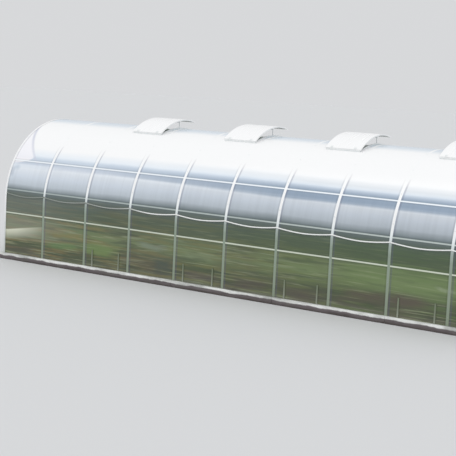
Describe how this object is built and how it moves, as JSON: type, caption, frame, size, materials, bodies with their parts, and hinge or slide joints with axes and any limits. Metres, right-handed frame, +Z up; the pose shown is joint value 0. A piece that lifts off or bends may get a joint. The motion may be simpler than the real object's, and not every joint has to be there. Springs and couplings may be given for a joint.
{
  "type": "polytunnel greenhouse",
  "caption": "Half-round greenhouse tunnel of bent twin-wall sheet on galvanised steel ribs, with roof vents propped open, a door in each gable and a timber kerb.",
  "frame": {"origin": "centre of the kerb's footprint, on the ground", "axes": "+X along the tunnel to the right as pictured, +Y to the back, away from the pictured side, +Z up"},
  "size_m": [10.056, 3.06, 2.7231],
  "materials": {
    "cover_sheet": "translucent twin-wall sheet",
    "vent_leaf": "translucent twin-wall sheet in a pale rim",
    "door_leaf": "translucent twin-wall sheet in a steel rim",
    "edge_trim": "pale satin",
    "galvanised_steel": "dull galvanised",
    "kerb_timber": "weathered grey with a bleached top edge",
    "cord": "white twisted rope"
  },
  "bodies": {
    "root": {"back_lower_rail": "galvanised_steel", "back_middle_rail": "galvanised_steel", "back_upper_rail": "galvanised_steel", "cord_ties": "edge_trim", "cover_sheet_1": "cover_sheet", "cover_sheet_2": "cover_sheet", "cover_sheet_3": "cover_sheet", "cover_sheet_4": "cover_sheet", "cover_sheet_5": "cover_sheet", "foot_strips": "galvanised_steel", "front_lower_rail": "galvanised_steel", "front_middle_rail": "galvanised_steel", "front_upper_rail": "galvanised_steel", "kerb": "kerb_timber", "left_door": "door_leaf", "left_edge_trim": "edge_trim", "left_end_frame": "galvanised_steel", "left_gable_sheet": "cover_sheet", "rib_1": "galvanised_steel", "rib_2": "galvanised_steel", "rib_3": "galvanised_steel", "rib_4": "galvanised_steel", "rib_5": "galvanised_steel", "rib_6": "galvanised_steel", "rib_7": "galvanised_steel", "rib_8": "galvanised_steel", "rib_9": "galvanised_steel", "ridge_rails": "galvanised_steel", "right_door": "door_leaf", "right_edge_trim": "edge_trim", "right_end_frame": "galvanised_steel", "right_gable_sheet": "cover_sheet", "side_cord": "cord", "vent_frame_1": "galvanised_steel", "vent_frame_2": "galvanised_steel", "vent_frame_3": "galvanised_steel", "vent_frame_4": "galvanised_steel", "vent_leaf_1": "vent_leaf", "vent_leaf_2": "vent_leaf", "vent_leaf_3": "vent_leaf", "vent_leaf_4": "vent_leaf", "vent_stay_1": "galvanised_steel", "vent_stay_2": "galvanised_steel", "vent_stay_3": "galvanised_steel", "vent_stay_4": "galvanised_steel"}
  },
  "joints": []
}
